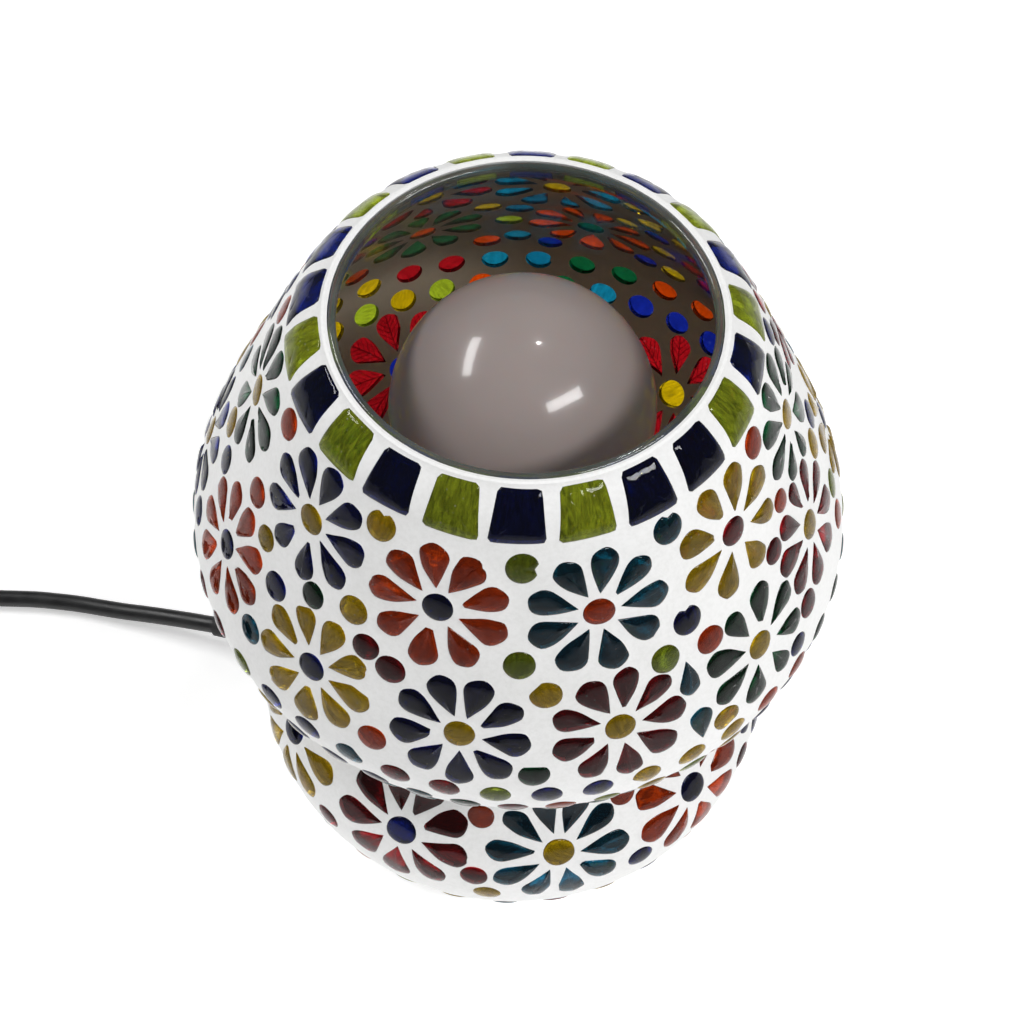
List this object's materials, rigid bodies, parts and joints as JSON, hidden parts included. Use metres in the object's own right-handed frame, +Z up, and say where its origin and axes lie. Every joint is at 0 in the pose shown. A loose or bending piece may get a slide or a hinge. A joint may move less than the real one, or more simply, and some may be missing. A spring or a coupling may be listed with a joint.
{
  "type": "mosaic glass table lamp",
  "caption": "Twin-bulged glass table lamp covered in flower mosaic tiles and white grout, open at the top over an LED bulb, with an in-line switch, coiled cord and two-pin plug.",
  "frame": {"origin": "centre of the base pad's underside, on the table", "axes": "+Z up along the lamp's axis, out of the open mouth; the cord leaves towards -X"},
  "size_m": [0.3482, 0.154, 0.181],
  "materials": {
    "clear_glass": "polished, faint grey-green",
    "grout": "satin white grout",
    "tile_navy": "glossy",
    "tile_teal": "glossy",
    "tile_russet": "glossy",
    "tile_maroon": "glossy",
    "tile_amber": "glossy",
    "tile_green": "glossy",
    "tile_olive": "glossy",
    "black_rubber": "matte",
    "black_plastic": "satin",
    "white_plastic": "satin",
    "milky_diffuser": "glossy, milky",
    "steel": "brushed",
    "plated": "nickel plated",
    "brass": "satin",
    "steatite": "matte",
    "aluminium": "white lacquered board",
    "phosphor": "satin",
    "circuit_board": "satin",
    "brown_pvc": "satin",
    "blue_pvc": "satin"
  },
  "bodies": {
    "lamp": {"glass_vessel": "clear_glass", "grout_coat": "grout", "rim_tiles_navy": "tile_navy", "rim_tiles_green": "tile_olive", "petals_navy": "tile_navy", "petals_teal": "tile_teal", "petals_russet": "tile_russet", "petals_maroon": "tile_maroon", "petals_amber": "tile_amber", "petals_green": "tile_green", "dots_navy": "tile_navy", "dots_teal": "tile_teal", "dots_russet": "tile_russet", "dots_maroon": "tile_maroon", "dots_amber": "tile_amber", "dots_green": "tile_green", "dots_olive": "tile_olive", "base_pad": "black_rubber", "base_plate": "steel", "base_gasket": "black_rubber", "rubber_washer": "black_rubber", "steel_washer": "steel", "threaded_nipple": "brass", "base_nut": "plated", "stem_tube": "plated", "holder_cap": "black_plastic", "holder_shell": "black_plastic", "holder_core": "steatite", "screw_shell": "brass", "centre_contact": "brass", "side_contact": "brass", "terminal_screws": "steel", "inner_lead": "black_rubber", "live_wire": "brown_pvc", "neutral_wire": "blue_pvc", "cord_grommet": "black_rubber", "strain_relief": "black_rubber", "cord_to_switch": "black_rubber", "switch_base": "black_plastic", "switch_cover": "black_plastic", "switch_screws": "steel", "switch_terminals": "brass", "switch_pin": "steel", "cord_to_coil": "black_rubber", "cord_coil": "black_rubber", "cord_to_plug": "black_rubber", "plug_body": "black_plastic", "plug_pins": "plated"},
    "bulb": {"bulb_diffuser": "milky_diffuser", "bulb_housing": "white_plastic", "led_board": "aluminium", "led_chips": "phosphor", "driver_board": "circuit_board", "bulb_cap": "plated", "cap_insulator": "black_plastic", "bulb_contact": "steel"},
    "rocker": {"switch_rocker": "black_plastic", "switch_bridge": "brass"}
  },
  "joints": [
    {"name": "bulb_lift", "type": "slide", "parent": "lamp", "child": "bulb", "axis": [0, 0, 1], "range_m": [0, 0.13]},
    {"name": "switch_rock", "type": "hinge", "parent": "lamp", "child": "rocker", "pos_m": [-0.196, 0.03, 0.0112], "axis": [0, 1, 0], "range_deg": [-16, 0]}
  ]
}
